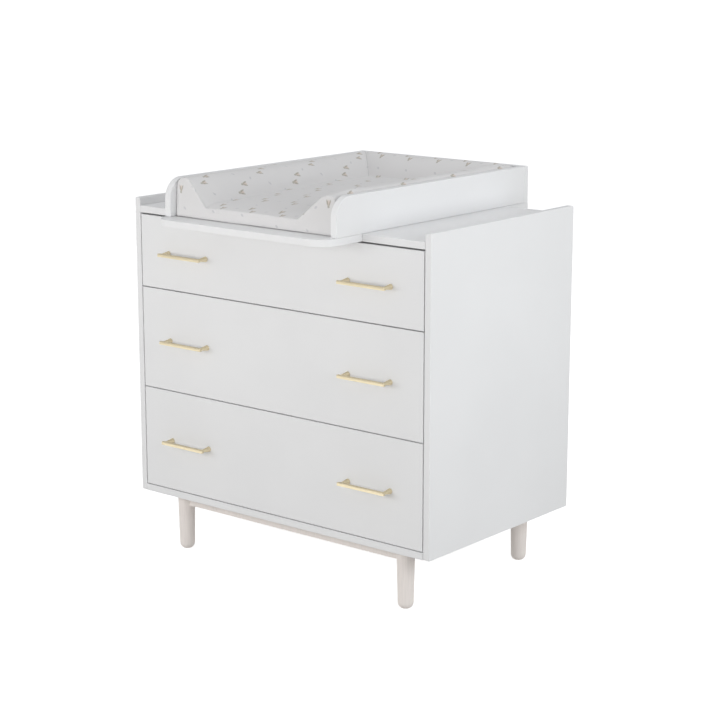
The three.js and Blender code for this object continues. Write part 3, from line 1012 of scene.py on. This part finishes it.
class CHANGINGTABLE_OT_mat(bpy.types.Operator):
    """Sews and fills the wedge mat, with its printed cover and its stitching"""

    bl_idname = "changing_table.mat"
    bl_label = "Changing mat"

    def execute(self, context):
        sizes = context.scene.changing_table_mat
        mat = WedgeMat(sizes)
        mesh = mesh_from(mat.build(), "changing_mat_cover", 180)
        piece = make_piece(
            "changing_mat_cover", mesh, leaf_cotton(sizes), "changing_mat", ["changing_mat"]
        )
        swell(piece, mat, sizes)
        refine(piece)
        crease(piece, mat)
        for polygon in piece.data.polygons:
            polygon.use_smooth = True
        self.sew(piece, mat, sizes)
        return {"FINISHED"}

    @staticmethod
    def sew(piece, mat, sizes):
        """Top-stitches the floor's front edge and both sides of the rear mitres."""
        skin = BVHTree.FromPolygons(
            [v.co.copy() for v in piece.data.vertices], [tuple(p.vertices) for p in piece.data.polygons]
        )
        shape = bmesh.new()
        edge, end_gap, beside = mat.front + 9 * MM, 4 * MM, 3.4 * MM
        reach = mat.half - sizes.foot - end_gap
        stitch_row(shape, skin, (-reach, edge), (reach - mat.splay, edge))
        outer, inner = 44 * MM, sizes.foot - end_gap
        for sign in (-1, 1):
            for aside in (-beside, beside):
                x, y = mat.half - aside, mat.rear + aside
                ends = [(sign * (x - inward), y - inward) for inward in (outer, inner)]
                stitch_row(shape, skin, *ends)
        mesh = mesh_from(shape, "changing_mat_stitching", 180)
        make_piece("changing_mat_stitching", mesh, sewing_thread(sizes), "changing_mat")


# --- stage


def area_light(name, place, aim, size, power, tint, shines=True):
    """Adds a rectangular light, whose mirror image may be left out of shiny surfaces."""
    light = bpy.data.lights.new(name, "AREA")
    light.shape, light.size, light.size_y = "RECTANGLE", *size
    light.energy, light.color = power, tint
    lamp = add_object(name, light)
    lamp.location = place
    lamp.visible_camera = False
    lamp.visible_glossy = shines
    lamp.rotation_euler = (Vector(aim) - Vector(place)).to_track_quat("-Z", "Y").to_euler()


class CHANGINGTABLE_OT_stage(bpy.types.Operator):
    """Lays a pale floor, and sets soft lights and the camera"""

    bl_idname = "changing_table.stage"
    bl_label = "Stage"

    def execute(self, context):
        settings = context.scene.changing_table_stage
        self.floor(settings)
        self.surroundings(context.scene, settings)
        warm, cool = (1, 0.995, 0.985), (0.96, 0.985, 1)
        key, side, top = settings.key_power, settings.side_power, settings.top_power
        area_light("key_light", (-0.3, -2.2, 1.0), (0, 0, 0.85), (2.4, 0.7), key, warm, shines=False)
        area_light("side_light", (2.35, -0.2, 1.25), (0.2, 0, 0.85), (1.9, 1.0), side, cool)
        area_light("top_light", (0, 0.5, 3.2), (0, 0.2, 0.9), (2.2, 2.2), top, (1, 0.995, 0.99))
        self.camera(context.scene, settings)
        context.scene.view_settings.view_transform = "Standard"
        return {"FINISHED"}

    @staticmethod
    def floor(settings):
        """A wide round floor, and a pale wall far beyond it; neither throws light on the object."""
        finish = Finish("studio_floor", specular_ior_level=0.1, emission_strength=settings.floor_glow)
        base = settings.floor
        cloud = finish.cloud(0.8, 3)
        finish.set(base_color=finish.tones(cloud, base, 0.99, 1.01), roughness=0.85)
        finish.set(emission_color=(1, 1, 1))
        finish.set(normal=finish.bump(finish.cloud(60, 2), 0.05 * MM))
        reach, sides, steps, below = 60, 48, 24, -0.5 * MM
        floor, wall = bmesh.new(), bmesh.new()
        rings = [add_circle(floor, reach * (k / steps) ** 3, below, sides) for k in range(1, steps + 1)]
        floor.faces.new(rings[0])
        join_rings(floor, rings)
        join_rings(wall, [add_circle(wall, reach, height, sides) for height in (-1, 45)])
        for name, shape in (("studio_floor", floor), ("studio_backdrop", wall)):
            piece = add_object(name, mesh_from(shape, name))
            coat(piece.data, finish.material)
            piece.visible_diffuse = False
            piece.visible_glossy = piece.visible_shadow = shape is floor

    @staticmethod
    def surroundings(scene, settings):
        """Even light from above, and a little less off the ground."""
        world = bpy.data.worlds.new("surroundings")
        world.use_nodes = True
        sky = Nodes(world.node_tree)
        direction = sky.node("TexCoord", output="Generated")
        upward = sky.node("SeparateXYZ", None, {0: direction}, output="Z")
        share = upward.ramp(-0.15, 0.15)
        ground = shade(settings.ground, settings.ground_power)
        above = shade(settings.sky, settings.sky_power)
        back = next(n for n in world.node_tree.nodes if n.type == "BACKGROUND")
        sky.plug(back.inputs["Color"], sky.mix(share, ground, above))
        scene.world = world

    @staticmethod
    def camera(scene, settings):
        data = bpy.data.cameras.new("camera")
        data.lens, data.sensor_width = settings.lens, 36
        data.clip_end = 200
        camera = add_object("camera", data)
        turn, rise = settings.azimuth, settings.elevation
        level = math.cos(rise)
        away = Vector((math.sin(turn) * level, -math.cos(turn) * level, math.sin(rise)))
        camera.location = Vector(settings.target) + away * settings.distance
        camera.rotation_euler = (math.pi / 2 - rise, 0, turn)
        scene.camera = camera


# --- add-on


STEPS = (
    CHANGINGTABLE_OT_boards,
    CHANGINGTABLE_OT_runners,
    CHANGINGTABLE_OT_caps,
    CHANGINGTABLE_OT_legs,
    CHANGINGTABLE_OT_handles,
    CHANGINGTABLE_OT_mat,
    CHANGINGTABLE_OT_stage,
)
GROUPS = {
    "changing_table_lacquer": LacquerSettings,
    "changing_table_leg": LegSettings,
    "changing_table_handle": HandleSettings,
    "changing_table_mat": MatSettings,
    "changing_table_stage": StageSettings,
}


class CHANGINGTABLE_PT_panel(bpy.types.Panel):
    """Lists the steps that make the changing table, and the settings that they use"""

    bl_label = "Changing Table"
    bl_idname = "CHANGINGTABLE_PT_panel"
    bl_space_type = "VIEW_3D"
    bl_region_type = "UI"
    bl_category = "Changing Table"

    def draw(self, context):
        for step in STEPS:
            self.layout.operator(step.bl_idname)
        for name, group in GROUPS.items():
            box = self.layout.box()
            for key in group.__annotations__:
                box.prop(getattr(context.scene, name), key)


CLASSES = (*GROUPS.values(), *STEPS, CHANGINGTABLE_PT_panel)


def register():
    for cls in CLASSES:
        bpy.utils.register_class(cls)
    for name, group in GROUPS.items():
        setattr(bpy.types.Scene, name, PointerProperty(type=group))


def unregister():
    for name in GROUPS:
        delattr(bpy.types.Scene, name)
    for cls in reversed(CLASSES):
        bpy.utils.unregister_class(cls)


def main():
    register()
    bpy.ops.changing_table.boards()
    bpy.ops.changing_table.runners()
    bpy.ops.changing_table.caps()
    bpy.ops.changing_table.legs()
    bpy.ops.changing_table.handles()
    bpy.ops.changing_table.mat()
    bpy.ops.changing_table.stage()


if __name__ == "__main__":
    main()
